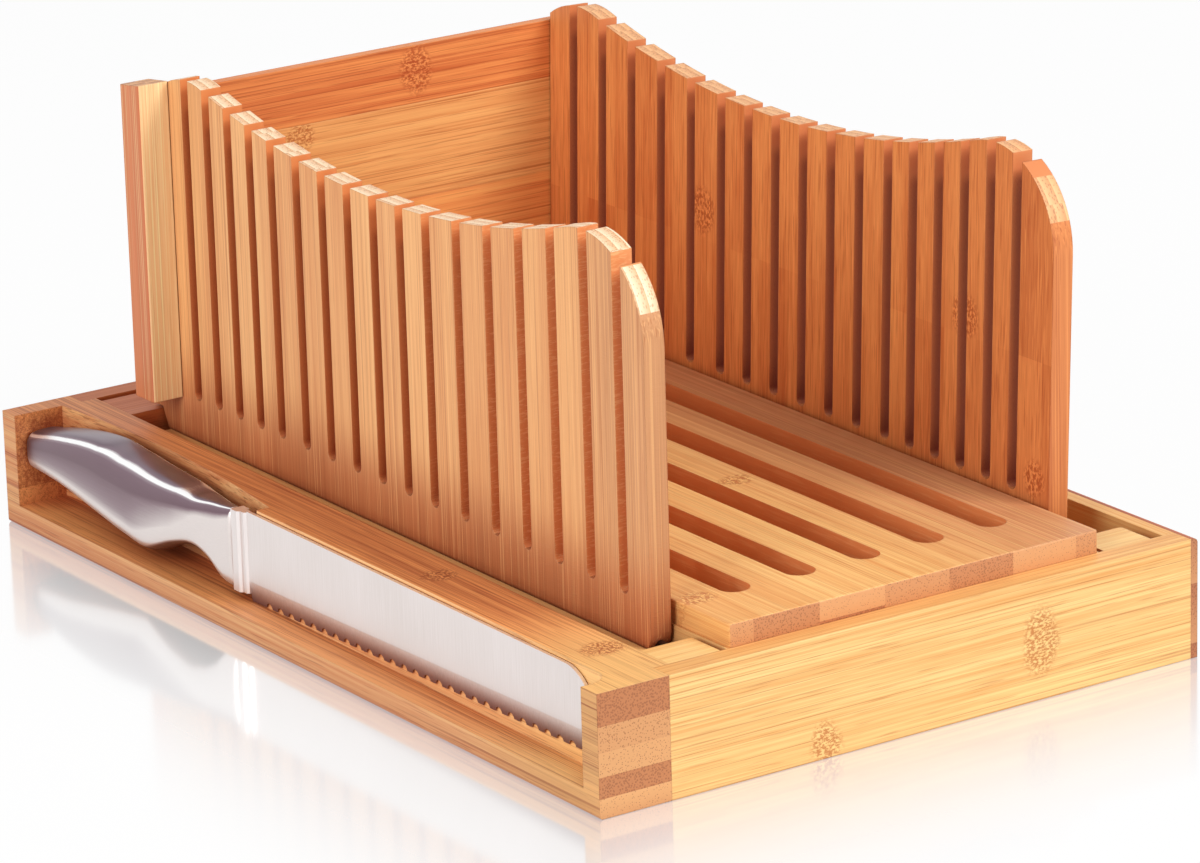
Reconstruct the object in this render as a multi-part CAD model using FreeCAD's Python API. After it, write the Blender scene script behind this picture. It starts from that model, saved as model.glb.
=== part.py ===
import FreeCAD, Part
import math
import os

# Bread slicer guide, in millimetres.  +Z is up, +X is to the right and +Y is to the rear.
# The origin is the centre of the base's underside.
V = FreeCAD.Vector
os.makedirs("parts", exist_ok=True)

# ---- Base box -------------------------------------------------------------------------------
base_length = 360.0          # front to back
base_width = 230.0           # left to right
base_height = 40.0           # underside to rim
end_rail_thickness = 8.4     # front and rear rails
side_ply = 4.8               # inner ply of the right rail
side_facing = 2.7            # outer ply of the right rail, which covers the end rails' ends
side_edge_radius = 1.6       # rounded top edge of the outer ply
beam_width = 32.0            # solid beam along the left side, which holds the knife
beam_edge_radius = 1.2       # rounded lower outer edge of the beam
beam_lap = 5.7               # rabbet in the beam that takes the end of an end rail
panel_thickness = 5.0        # bottom panel that catches the crumbs
panel_recess = 2.0           # the panel sits this far above the underside

# ---- Knife niche in the beam, open to the left and upwards ----------------------------------
niche_end_wall = 8.4
niche_floor = 7.7
niche_depth = 11.5           # depth beside the blade
niche_cove = 8.0             # cutter radius at the niche's front corner
bay_length = 139.6           # deeper bay beside the handle, from the niche's rear wall
bay_depth_front = 16.2
bay_depth_middle = 22.0
bay_depth_rear = 18.6
bay_middle = 71.6            # distance of the deepest point from the niche's rear wall

# ---- Blocks that carry the guides' pins, and what stands beside them ------------------------
block_width = 19.0
front_block_length = 15.1
rear_block_length = 20.1
rear_groove = 4.0            # gap between a rear block and the rear rail
side_groove = 4.7            # gap between a right block and the right rail
block_edge_radius = 1.5      # rounded upright edge of the right blocks
ledge_width = 11.8
ledge_drop = 6.0             # the strip beside the left guide lies this far below the rim
ledge_depth = 12.0
ledge_gap = 6.0              # the ledge stops this far before the rear block

# ---- Comb guides ----------------------------------------------------------------------------
guide_thickness = 7.7
guide_ledge_gap = 0.5        # clearance between the left guide and the ledge
front_gap = 12.0             # bare pin between a front block and a guide
rear_gap = 0.5               # clearance between a guide's foot and a rear block
rear_overhang = 4.5          # the guide's rear end stands over the rear block by this much
overhang_rise = 0.9          # clearance below that end
pivot_drop = 5.0             # the hinge axis lies this far below the rim
foot_depth = 3.85            # the guide's foot below the pivot axis
foot_corner_radius = 7.5     # front corner of the foot
foot_slant = 4.7             # the foot's rear edge slopes forwards by this much
crest_height = 160.4         # highest points, near both ends
crest_radius = 31.5
dip_height = 144.6           # lowest point of the hollow top edge
slot_width = 4.7
slot_floor_rise = 1.0        # the slots' floors lie this far above the board
fine_pitch = 13.5
medium_pitch = 15.5
coarse_pitch = 17.7
left_fine_count = 4
left_medium_count = 6
left_coarse_count = 6
right_fine_count = 5
right_medium_count = 6
right_coarse_count = 5
left_first_slot = 29.5       # from the left guide's rear end
right_first_slot = 19.1      # from the right guide's front end
right_lean = 1.85            # degrees that the right guide leans outwards

# ---- Hinge pins -----------------------------------------------------------------------------
pin_diameter = 2.6
pin_engagement = 12.0        # length held in a block, and in a guide
pin_clearance = 0.05         # radial running fit in the block
pin_end_clearance = 0.5

# ---- Slotted board --------------------------------------------------------------------------
board_thickness = 7.6
board_overlap = 0.3          # the board bears on the end rails by this much
board_play_left = 2.3        # clearance between the board and the left guide's foot
board_play_right = 1.5
board_corner_radius = 1.0
board_edge_radius = 0.5
board_slot_count = 5
board_slot_width = 10.6
board_slot_pitch = 24.85
board_slot_margin = 22.5     # from the board's ends
runner_width = 8.0           # upright strips that carry the board's long edges
left_runner_inset = 1.1      # the strips stand out this far beyond the board's edges
right_runner_inset = 0.6
cleat_depth = 12.0
cleat_width = 12.0

# ---- Backboard ------------------------------------------------------------------------------
stile_width = 11.3
stile_depth = 12.6
stile_drop = 2.3             # the stiles' tops lie this far below the guides' crests
stile_top_slope = 1.7        # a stile's top falls by this much to the rear
right_stile_shortfall = 3.5  # the right stile ends this much below the left one
stile_edge_radius = 1.0
stile_gap = 0.3              # clearance between a stile and a guide's outer face
stile_lip = 2.9              # what is left of a stile behind the panel's groove
back_tongue = 5.0            # the panel is let into the stiles by this much
back_slot_clearance = 0.35   # each side of the panel in a guide's rear slot
back_slot_floor = 0.8        # the slot's floor lies this far below the panel
rear_slat = 9.25             # what is left of a guide behind that slot
back_thickness = 4.0
back_drop = 5.5              # the panel stops this far below the left stile's top
back_bottom_strip = 51.2
back_middle_strip = 33.4

# ---- Bread knife ----------------------------------------------------------------------------
blade_thickness = 1.2
blade_wall_gap = 0.3         # clearance between the blade and the niche's back wall
blade_bevel_height = 7.0
blade_edge_thickness = 0.35
bevel_depth = 2.0            # the grinding tool reaches this far beyond the blade
blade_tip = 8.0              # from the niche's front wall to the blade's tip
blade_tip_radius = 15.5
blade_tip_rake = 1.6         # the lower end of the tip lies this far back
blade_spine = 38.8
blade_heel = 7.9
blade_toe = 12.8             # height of the cutting edge at the tip
scallop_radius = 1.85
scallop_pitch = 6.75
scallop_sink = 0.1           # how far a scallop's centre lies below the edge
heel_land = 3.9              # from the bolster to the first scallop's middle
toe_land = 3.5               # at least this much from the last scallop's middle to the tip
bolster_length = 7.0
bolster_step = 2.6           # length of the bolster's thin front part
bolster_thin = 2.8
bolster_thick = 5.0
bolster_chamfer = 0.8
bolster_bottom = 10.6
bolster_top = 38.4
bolster_rear = 128.6         # from the niche's rear wall to the bolster's rear face
handle_roundness = 0.8       # corner radius as a share of a section's half width

# Handle sections: share of the handle's length, bottom height, top height and half width.
handle_end_gap = 0.6
handle_sections = [
    (0.00, 10.8, 38.2, 2.7),
    (0.05, 12.4, 38.0, 4.4),
    (0.10, 18.0, 38.0, 5.7),
    (0.16, 20.5, 37.9, 7.1),
    (0.24, 18.0, 38.9, 8.2),
    (0.38, 11.6, 39.8, 9.2),
    (0.50, 12.7, 40.9, 9.4),
    (0.64, 15.5, 41.7, 9.3),
    (0.82, 19.2, 38.7, 8.8),
    (0.95, 20.3, 35.1, 7.9),
    (1.00, 20.3, 33.7, 7.2),
]

# ---- Cutting -------------------------------------------------------------------------------
cut_over = 1.0               # a cutting body reaches this far beyond the face it opens

# ---- Places worked out from the sizes above --------------------------------------------------
left = -base_width / 2
right = base_width / 2
front = -base_length / 2
rear = base_length / 2
well_left = left + beam_width
well_right = right - side_ply - side_facing
well_front = front + end_rail_thickness
well_rear = rear - end_rail_thickness
panel_top = panel_recess + panel_thickness
ledge_top = base_height - ledge_drop
pivot_height = base_height - pivot_drop

guide_front = well_front + front_block_length + front_gap
rear_block_rear = well_rear - rear_groove
rear_block_front = rear_block_rear - rear_block_length
guide_rear = rear_block_front + rear_overhang
foot_bottom = pivot_height - foot_depth
foot_rear = rear_block_front - rear_gap
overhang_height = base_height + overhang_rise
foot_slope = foot_slant / (overhang_height - foot_bottom)
rear_hole_mouth = foot_rear - foot_slope * (overhang_height - pivot_height)
pivot_left = well_left + ledge_width + guide_ledge_gap + guide_thickness / 2
pivot_edge = well_left + block_width - pivot_left
right_block_left = well_right - side_groove - block_width
pivot_right = right_block_left + pivot_edge

board_left = pivot_left + guide_thickness / 2 + board_play_left
board_right = pivot_right - guide_thickness / 2 - board_play_right
board_front = well_front - board_overlap
board_rear = well_rear + board_overlap
board_top = base_height + board_thickness
slot_bottom = board_top + slot_floor_rise

stile_top = crest_height - stile_drop
back_rear = guide_rear - rear_slat - back_slot_clearance
back_front = back_rear - back_thickness
back_top = stile_top - back_drop
stile_rear = back_rear + stile_lip
stile_front = stile_rear - stile_depth
lean_angle = math.radians(right_lean)
lean_reach = (stile_top - pivot_height) * math.tan(lean_angle)
left_stile_inner = pivot_left - guide_thickness / 2 - stile_gap
right_stile_inner = pivot_right + guide_thickness / 2 / math.cos(lean_angle) + lean_reach + stile_gap

niche_front = front + niche_end_wall
niche_rear = rear - niche_end_wall
knife_x = left + niche_depth - blade_wall_gap - blade_thickness / 2
bolster_rear_y = niche_rear - bolster_rear
bolster_front_y = bolster_rear_y - bolster_length


def box(x0, x1, y0, y1, z0, z1):
    """A box between two corners."""
    return Part.makeBox(x1 - x0, y1 - y0, z1 - z0, V(x0, y0, z0))


def plate(outline, direction):
    """A closed outline of edges, pushed along a direction."""
    return Part.Face(Part.Wire(outline)).extrude(direction)


def arc_by_middle(a, middle, b):
    """An arc from a to b through a point between them."""
    return Part.Arc(a, middle, b).toShape()


def line(a, b):
    return Part.makeLine(a, b)


def edges_where(shape, test):
    """The edges whose middle point and direction pass a test."""
    chosen = []
    for edge in shape.Edges:
        start = edge.valueAt(edge.FirstParameter)
        end = edge.valueAt(edge.LastParameter)
        if test(edge.CenterOfMass, end - start):
            chosen.append(edge)
    return chosen


def is_along(direction, axis):
    """True when an edge direction runs along x, y or z."""
    across = [abs(part) for name, part in zip("xyz", direction) if name != axis]
    return max(across) < 1e-4


def near(a, b):
    return abs(a - b) < 1e-3


def save(name, shape):
    """Write one piece, or one group of alike pieces, to its own file."""
    shape.exportStep("parts/" + name + ".step")


# ---- Base box -------------------------------------------------------------------------------
def niche_cut():
    """The space that is routed out of the beam for the knife."""
    back = left + niche_depth
    bay_front = niche_rear - bay_length
    cove_middle = niche_cove * (1 - math.sqrt(0.5))
    outside_front = V(left - cut_over, niche_front, niche_floor)
    outside_rear = V(left - cut_over, niche_rear, niche_floor)
    cove_start = V(back - niche_cove, niche_front, niche_floor)
    cove_point = V(back - cove_middle, niche_front + cove_middle, niche_floor)
    cove_end = V(back, niche_front + niche_cove, niche_floor)
    step = V(back, bay_front, niche_floor)
    bay_start = V(left + bay_depth_front, bay_front, niche_floor)
    bay_point = V(left + bay_depth_middle, niche_rear - bay_middle, niche_floor)
    bay_end = V(left + bay_depth_rear, niche_rear, niche_floor)
    outline = [
        line(outside_front, cove_start),
        arc_by_middle(cove_start, cove_point, cove_end),
        line(cove_end, step),
        line(step, bay_start),
        arc_by_middle(bay_start, bay_point, bay_end),
        line(bay_end, outside_rear),
        line(outside_rear, outside_front),
    ]
    return plate(outline, V(0, 0, base_height - niche_floor + cut_over))


def knife_beam():
    beam = box(left, well_left, front, rear, 0, base_height)
    lower_edge = edges_where(beam, lambda m, d: is_along(d, "y") and near(m.x, left) and near(m.z, 0))
    beam = beam.makeFillet(beam_edge_radius, lower_edge)
    lap_left = well_left - beam_lap
    beam = beam.cut(box(lap_left, well_left, front, well_front, 0, base_height))
    beam = beam.cut(box(lap_left, well_left, well_rear, rear, 0, base_height))
    return beam.cut(niche_cut())


def end_rail(y0, y1):
    return box(well_left - beam_lap, right - side_facing, y0, y1, 0, base_height)


def right_rail_ply():
    return box(well_right, right - side_facing, well_front, well_rear, 0, base_height)


def right_rail_facing():
    facing = box(right - side_facing, right, front, rear, 0, base_height)
    top_edge = edges_where(
        facing, lambda m, d: is_along(d, "y") and near(m.x, right) and near(m.z, base_height))
    return facing.makeFillet(side_edge_radius, top_edge)


def base_panel():
    return box(well_left, well_right, well_front, well_rear, panel_recess, panel_top)


def left_ledge():
    y0 = well_front + front_block_length
    y1 = rear_block_front - ledge_gap
    return box(well_left, well_left + ledge_width, y0, y1, ledge_top - ledge_depth, ledge_top)


def pin_bore(x, y0, y1):
    """The running-fit bore of a hinge pin."""
    radius = pin_diameter / 2 + pin_clearance
    return Part.makeCylinder(radius, y1 - y0, V(x, y0, pivot_height), V(0, 1, 0))


def pivot_block(x0, axis_x, at_front, rounded):
    """A block that carries one hinge pin, flush with the rim."""
    depth = pin_engagement + pin_end_clearance
    if at_front:
        y0 = well_front
        y1 = well_front + front_block_length
        bore = pin_bore(axis_x, y1 - depth, y1)
        open_end = y1
    else:
        y0 = rear_block_front
        y1 = rear_block_rear
        bore = pin_bore(axis_x, y0, y0 + depth)
        open_end = y0
    block = box(x0, x0 + block_width, y0, y1, panel_top, base_height)
    if rounded:
        corner = edges_where(
            block, lambda m, d: is_along(d, "z") and near(m.y, open_end) and near(m.x, x0 + block_width))
        block = block.makeFillet(block_edge_radius, corner)
    return block.cut(bore)


# ---- Comb guides ----------------------------------------------------------------------------
def guide_outline(x):
    """Side view of a guide: rounded crests, a hollow top edge and a foot that clears the blocks."""
    middle = (guide_front + guide_rear) / 2
    crest_z = crest_height - crest_radius
    span = middle - guide_front - crest_radius
    rise = dip_height - crest_z
    # The hollow's arc touches both crest arcs from outside, which fixes its radius.
    hollow_radius = (span ** 2 + rise ** 2 - crest_radius ** 2) / (2 * (crest_radius - rise))
    hollow_z = dip_height + hollow_radius
    reach = hollow_radius + crest_radius
    touch_y = crest_radius * span / reach
    touch_z = crest_radius * (hollow_z - crest_z) / reach
    crest_turn = (math.pi / 2 + math.atan2(touch_y, touch_z)) / 2
    across = crest_radius * math.cos(crest_turn)
    up = crest_radius * math.sin(crest_turn)
    cut_corner = foot_corner_radius * (1 - math.sqrt(0.5))

    def crest(end, inwards):
        """Points of one crest: its outer end, its middle and where the hollow begins."""
        centre = end + inwards * crest_radius
        outer = V(x, end, crest_z)
        middle_point = V(x, centre - inwards * across, crest_z + up)
        inner = V(x, centre + inwards * touch_y, crest_z + touch_z)
        return outer, middle_point, inner

    front_outer, front_middle, front_inner = crest(guide_front, 1)
    rear_outer, rear_middle, rear_inner = crest(guide_rear, -1)
    toe = V(x, guide_front + foot_corner_radius, foot_bottom)
    toe_middle = V(x, guide_front + cut_corner, foot_bottom + cut_corner)
    toe_top = V(x, guide_front, foot_bottom + foot_corner_radius)
    heel = V(x, foot_rear - foot_slant, foot_bottom)
    heel_top = V(x, foot_rear, overhang_height)
    overhang = V(x, guide_rear, overhang_height)
    return [
        line(toe, heel),
        line(heel, heel_top),
        line(heel_top, overhang),
        line(overhang, rear_outer),
        arc_by_middle(rear_outer, rear_middle, rear_inner),
        arc_by_middle(rear_inner, V(x, middle, dip_height), front_inner),
        arc_by_middle(front_inner, front_middle, front_outer),
        line(front_outer, toe_top),
        arc_by_middle(toe_top, toe_middle, toe),
    ]


def slot_places(first, direction, fine_count, medium_count, coarse_count):
    """Middle of each cutting slot, in three groups for thin, medium and thick slices."""
    places = [first]
    groups = [(fine_pitch, fine_count), (medium_pitch, medium_count), (coarse_pitch, coarse_count)]
    for pitch, count in groups:
        for _ in range(count):
            places.append(places[-1] + direction * pitch)
    return places


def cutting_slot(x0, y):
    """One slot, open at the top and with a round floor."""
    radius = slot_width / 2
    floor = slot_bottom + radius
    upper = box(x0, x0 + guide_thickness, y - radius, y + radius, floor, crest_height + cut_over)
    lower = Part.makeCylinder(radius, guide_thickness, V(x0, y, floor), V(1, 0, 0))
    return upper.fuse(lower)


def comb_guide(axis_x, places, inner_side):
    """An upright guide, hinged along its foot, with all its slots."""
    x0 = axis_x - guide_thickness / 2
    guide = plate(guide_outline(x0), V(guide_thickness, 0, 0))
    # The outer lower edge is rounded about the pivot, so that it clears the ledge as it folds.
    radius = guide_thickness / 2
    nose = Part.makeCylinder(radius, guide_rear - guide_front, V(axis_x, guide_front, pivot_height), V(0, 1, 0))
    outer_x0 = x0 if inner_side > 0 else axis_x
    corner_bottom = foot_bottom - cut_over
    corner = box(outer_x0, outer_x0 + radius, guide_front, guide_rear, corner_bottom, pivot_height)
    guide = guide.cut(corner.cut(nose))
    cuts = [cutting_slot(x0, y) for y in places]
    slot_front = back_front - back_slot_clearance
    slot_rear = back_rear + back_slot_clearance
    floor = board_top - back_slot_floor
    cuts.append(box(x0, x0 + guide_thickness, slot_front, slot_rear, floor, crest_height + cut_over))
    pin_radius = pin_diameter / 2
    front_hole = V(axis_x, guide_front, pivot_height)
    rear_hole = V(axis_x, rear_hole_mouth - pin_engagement, pivot_height)
    rear_length = pin_engagement + foot_slant
    cuts.append(Part.makeCylinder(pin_radius, pin_engagement, front_hole, V(0, 1, 0)))
    cuts.append(Part.makeCylinder(pin_radius, rear_length, rear_hole, V(0, 1, 0)))
    return guide.cut(cuts)


def lean(shape):
    """Turn a piece of the right guide outwards about its hinge."""
    turned = shape.copy()
    turned.rotate(V(pivot_right, 0, pivot_height), V(0, 1, 0), right_lean)
    return turned


def hinge_pin(x, block_face, guide_face):
    """A steel pin from the inside of a block to the inside of a guide."""
    towards_guide = 1 if guide_face > block_face else -1
    y0 = block_face - towards_guide * pin_engagement
    y1 = guide_face + towards_guide * pin_engagement
    low = min(y0, y1)
    return Part.makeCylinder(pin_diameter / 2, abs(y1 - y0), V(x, low, pivot_height), V(0, 1, 0))


# ---- Slotted board --------------------------------------------------------------------------
def board_slot(x):
    """A through slot with round ends."""
    radius = board_slot_width / 2
    y0 = board_front + board_slot_margin + radius
    y1 = board_rear - board_slot_margin - radius
    shape = box(x - radius, x + radius, y0, y1, base_height, board_top)
    for y in (y0, y1):
        shape = shape.fuse(Part.makeCylinder(radius, board_thickness, V(x, y, base_height)))
    return shape


def slotted_board():
    board = box(board_left, board_right, board_front, board_rear, base_height, board_top)
    board = board.makeFillet(board_corner_radius, edges_where(board, lambda m, d: is_along(d, "z")))
    rim = edges_where(board, lambda m, d: near(m.z, board_top) and abs(d.z) < 1e-6)
    board = board.makeFillet(board_edge_radius, rim)
    middle = (board_left + board_right) / 2
    for number in range(board_slot_count):
        offset = (number - (board_slot_count - 1) / 2) * board_slot_pitch
        board = board.cut(board_slot(middle + offset))
    return board


def board_runner(x0):
    """An upright strip on the bottom panel that carries one long edge of the board."""
    return box(x0, x0 + runner_width, well_front, well_rear, panel_top, base_height)


def board_cleat(y0):
    """A strip on an end rail, between the runners, that carries one end of the board."""
    x0 = board_left - left_runner_inset + runner_width
    x1 = board_right + right_runner_inset - runner_width
    return box(x0, x1, y0, y0 + cleat_width, base_height - cleat_depth, base_height)


# ---- Backboard ------------------------------------------------------------------------------
def stile(inner_x, outwards, top):
    """An end post of the backboard, grooved for the panel, which stands outside a guide."""
    outer_x = inner_x + outwards * stile_width
    x0 = min(inner_x, outer_x)
    low_front = V(x0, stile_front, board_top)
    low_rear = V(x0, stile_rear, board_top)
    high_rear = V(x0, stile_rear, top - stile_top_slope)
    high_front = V(x0, stile_front, top)
    outline = Part.makePolygon([low_front, low_rear, high_rear, high_front, low_front])
    post = Part.Face(outline).extrude(V(stile_width, 0, 0))
    outer_edges = edges_where(post, lambda m, d: is_along(d, "z") and near(m.x, outer_x))
    post = post.makeFillet(stile_edge_radius, outer_edges)
    groove_end = inner_x + outwards * back_tongue
    groove_x0 = min(inner_x, groove_end)
    return post.cut(box(groove_x0, groove_x0 + back_tongue, back_front, back_rear, board_top, back_top))


def back_strip(z0, z1):
    """One of the strips that are glued edge to edge between the stiles."""
    x0 = left_stile_inner - back_tongue
    x1 = right_stile_inner + back_tongue
    return box(x0, x1, back_front, back_rear, z0, z1)


# ---- Bread knife ----------------------------------------------------------------------------
def blade_outline(x):
    """Side view of the blade, with the spine up and the tip to the front."""
    tip_y = niche_front + blade_tip
    rise = blade_spine - blade_tip_radius
    corner = blade_tip_radius * (1 - math.sqrt(0.5))
    spine_rear = V(x, bolster_front_y, blade_spine)
    spine_front = V(x, tip_y + blade_tip_radius, blade_spine)
    corner_middle = V(x, tip_y + corner, blade_spine - corner)
    tip_top = V(x, tip_y, rise)
    toe = V(x, tip_y + blade_tip_rake, blade_toe)
    heel = V(x, bolster_front_y, blade_heel)
    return [
        line(spine_rear, spine_front),
        arc_by_middle(spine_front, corner_middle, tip_top),
        line(tip_top, toe),
        line(toe, heel),
        line(heel, spine_rear),
    ]


def scallops():
    """The notches of the serrated edge."""
    toe_y = niche_front + blade_tip + blade_tip_rake
    slope = (blade_heel - blade_toe) / (bolster_front_y - toe_y)
    first_y = bolster_front_y - heel_land
    count = int((first_y - toe_y - toe_land) / scallop_pitch) + 1
    x0 = knife_x - blade_thickness / 2 - cut_over
    width = blade_thickness + 2 * cut_over
    notches = []
    for number in range(count):
        y = first_y - number * scallop_pitch
        z = blade_toe + slope * (y - toe_y) - scallop_sink
        notches.append(Part.makeCylinder(scallop_radius, width, V(x0, y, z), V(1, 0, 0)))
    return notches


def knife_blade():
    half = blade_thickness / 2
    blade = plate(blade_outline(knife_x - half), V(blade_thickness, 0, 0))
    # The bevel is ground on the outer side: it thins the lower part of the blade to its edge.
    toe_y = niche_front + blade_tip
    x_face = knife_x - half
    x_edge = knife_x + half - blade_edge_thickness
    x_out = x_face - bevel_depth

    def bevel_section(y, edge_z):
        """The triangle that is ground away at one place along the blade."""
        top = V(x_face, y, edge_z + blade_bevel_height)
        low = V(x_edge, y, edge_z)
        deep = V(x_edge, y, edge_z - bevel_depth)
        out = V(x_out, y, edge_z - bevel_depth)
        high = V(x_out, y, edge_z + blade_bevel_height)
        return Part.makePolygon([top, low, deep, out, high, top])

    sections = [bevel_section(toe_y, blade_toe), bevel_section(bolster_front_y, blade_heel)]
    ground = Part.makeLoft(sections, True, True)
    return blade.cut(ground).cut(scallops())


def knife_bolster():
    """The stepped collar between blade and handle, with bevelled front edges."""
    step_y = bolster_front_y + bolster_step

    def collar(y0, y1, thickness):
        half = thickness / 2
        shape = box(knife_x - half, knife_x + half, y0, y1, bolster_bottom, bolster_top)
        corners = edges_where(shape, lambda m, d: is_along(d, "z") and near(m.y, y0))
        return shape.makeChamfer(bolster_chamfer, corners)

    thin = collar(bolster_front_y, step_y, bolster_thin)
    return thin.fuse(collar(step_y, bolster_rear_y, bolster_thick)).removeSplitter()


def handle_section(y, bottom, top, half_width):
    """A rounded rectangle across the handle."""
    radius = handle_roundness * half_width
    bend = radius * math.sqrt(0.5)
    flat_x = half_width - radius
    low = bottom + radius
    high = top - radius

    def point(x, z):
        return V(knife_x + x, y, z)

    return Part.Wire([
        line(point(half_width, low), point(half_width, high)),
        arc_by_middle(point(half_width, high), point(flat_x + bend, high + bend), point(flat_x, top)),
        line(point(flat_x, top), point(-flat_x, top)),
        arc_by_middle(point(-flat_x, top), point(-flat_x - bend, high + bend), point(-half_width, high)),
        line(point(-half_width, high), point(-half_width, low)),
        arc_by_middle(point(-half_width, low), point(-flat_x - bend, low - bend), point(-flat_x, bottom)),
        line(point(-flat_x, bottom), point(flat_x, bottom)),
        arc_by_middle(point(flat_x, bottom), point(flat_x + bend, low - bend), point(half_width, low)),
    ])


def knife_handle():
    length = niche_rear - handle_end_gap - bolster_rear_y
    wires = []
    for share, bottom, top, half_width in handle_sections:
        wires.append(handle_section(bolster_rear_y + share * length, bottom, top, half_width))
    return Part.makeLoft(wires, True, True)


# ---- All pieces -----------------------------------------------------------------------------
front_block_face = well_front + front_block_length
left_places = slot_places(
    guide_rear - left_first_slot, -1, left_fine_count, left_medium_count, left_coarse_count)
right_places = slot_places(
    guide_front + right_first_slot, 1, right_fine_count, right_medium_count, right_coarse_count)

save("knife_beam", knife_beam())
save("front_rail", end_rail(front, well_front))
save("rear_rail", end_rail(well_rear, rear))
save("right_rail_ply", right_rail_ply())
save("right_rail_facing", right_rail_facing())
save("base_panel", base_panel())
save("left_ledge", left_ledge())
save("front_left_block", pivot_block(well_left, pivot_left, True, False))
save("rear_left_block", pivot_block(well_left, pivot_left, False, False))
save("front_right_block", pivot_block(right_block_left, pivot_right, True, True))
save("rear_right_block", pivot_block(right_block_left, pivot_right, False, True))
save("left_board_runner", board_runner(board_left - left_runner_inset))
save("right_board_runner", board_runner(board_right + right_runner_inset - runner_width))
save("front_board_cleat", board_cleat(well_front))
save("rear_board_cleat", board_cleat(well_rear - cleat_width))

save("left_guide", comb_guide(pivot_left, left_places, 1))
save("right_guide", lean(comb_guide(pivot_right, right_places, -1)))
save("left_front_pin", hinge_pin(pivot_left, front_block_face, guide_front))
save("left_rear_pin", hinge_pin(pivot_left, rear_block_front, rear_hole_mouth))
save("right_front_pin", hinge_pin(pivot_right, front_block_face, guide_front))
save("right_rear_pin", hinge_pin(pivot_right, rear_block_front, rear_hole_mouth))

save("slotted_board", slotted_board())

first_joint = board_top + back_bottom_strip
second_joint = first_joint + back_middle_strip
save("back_bottom_strip", back_strip(board_top, first_joint))
save("back_middle_strip", back_strip(first_joint, second_joint))
save("back_top_strip", back_strip(second_joint, back_top))
save("left_stile", stile(left_stile_inner, -1, stile_top))
save("right_stile", stile(right_stile_inner, 1, stile_top - right_stile_shortfall))

save("knife_blade", knife_blade())
save("knife_bolster", knife_bolster())
save("knife_handle", knife_handle())
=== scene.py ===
import math

import bmesh
import bpy
from mathutils import Matrix, Vector


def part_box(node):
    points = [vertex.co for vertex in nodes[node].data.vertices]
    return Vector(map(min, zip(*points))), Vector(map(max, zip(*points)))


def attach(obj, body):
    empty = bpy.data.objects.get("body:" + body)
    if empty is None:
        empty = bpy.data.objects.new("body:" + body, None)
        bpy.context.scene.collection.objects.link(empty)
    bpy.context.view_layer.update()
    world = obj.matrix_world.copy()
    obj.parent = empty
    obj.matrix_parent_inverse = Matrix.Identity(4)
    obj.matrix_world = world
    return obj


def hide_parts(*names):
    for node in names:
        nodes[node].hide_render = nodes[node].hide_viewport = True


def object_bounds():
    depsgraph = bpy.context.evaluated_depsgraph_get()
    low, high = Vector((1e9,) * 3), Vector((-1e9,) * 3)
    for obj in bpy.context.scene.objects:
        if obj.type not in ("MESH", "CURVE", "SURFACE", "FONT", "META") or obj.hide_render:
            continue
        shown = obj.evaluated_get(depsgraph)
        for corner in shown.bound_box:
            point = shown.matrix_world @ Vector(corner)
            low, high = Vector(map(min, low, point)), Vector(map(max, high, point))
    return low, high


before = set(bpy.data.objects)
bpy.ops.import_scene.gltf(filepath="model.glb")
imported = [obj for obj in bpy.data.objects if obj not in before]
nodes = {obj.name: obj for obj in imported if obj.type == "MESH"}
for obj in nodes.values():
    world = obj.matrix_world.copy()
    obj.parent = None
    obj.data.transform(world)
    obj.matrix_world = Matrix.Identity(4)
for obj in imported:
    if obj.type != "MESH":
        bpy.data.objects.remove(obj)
cad_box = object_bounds()

# A bamboo bread slicer. The CAD pieces keep their shapes and get their materials here. Only the
# knife's handle is made anew, as a smooth skin. Boxes from the CAD are in metres, and materials
# work in millimetres.
MM = 0.001
white = (1, 1, 1, 1)

# ---- Camera ---------------------------------------------------------------------------------
camera_place = Vector((-1.07174, -1.60950, 0.66974))
camera_forward = Vector((0.53145, 0.79080, -0.30363))
camera_right = Vector((0.82488, -0.56466, -0.02686))
camera_lens = 185.54        # millimetres
camera_sensor = 36.0
camera_far = 50.0           # metres

# ---- Light ----------------------------------------------------------------------------------
world_strength = 0.42
key_place = Vector((0.75, -1.50, 1.55))
key_power = 33.5
key_size = 0.9
fill_place = Vector((-1.9, -0.5, 0.9))
fill_power = 25.0
fill_size = 1.2
aim_point = Vector((0, 0, 0.06))

# ---- Floor ----------------------------------------------------------------------------------
floor_half = 8.0            # metres from the middle to each side
floor_drop = 0.1 * MM       # keeps the floor clear of the base's underside
floor_grey = (0.86, 0.86, 0.86, 1)
floor_glow = 0.94           # how far the camera and reflections see plain white instead of grey
mirror_roughness = 0.10
mirror_share = 0.62
mirror_full = -0.02         # metres out from the CAD box: the mirror image fades between these
mirror_reach = 0.13

# ---- Colours, as seen in plain white light (sRGB, 0 to 255) ---------------------------------
rail_pale = (248, 206, 136)
rail_deep = (226, 160, 88)
rail_top_pale = (242, 188, 118)
rail_top_deep = (216, 148, 80)
board_pale = (250, 200, 128)
board_deep = (216, 138, 70)
board_grey = (222, 154, 110)
edge_pale = (228, 168, 114)
edge_deep = (190, 120, 80)
guide_pale = (236, 178, 118)
guide_deep = (206, 132, 80)
# Painted shade: the left guide's lower part turns darker and redder near the beam.
guide_low = (192, 112, 68)
guide_front = (206, 144, 98)
# The left guide's crest end grain: pale, and near white as a painted highlight on the rounded
# crests.
crest_pale = (255, 230, 194)
crest_deep = (230, 166, 112)
# Slot walls: a lit colour at the mouths and painted shade deep inside, painted light on the front
# walls, and pale torn fibres.
sawn_open = (230, 142, 82)
sawn_deep = (150, 50, 22)
sawn_fresh = (238, 152, 92)
sawn_pale = (250, 188, 128)
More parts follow.
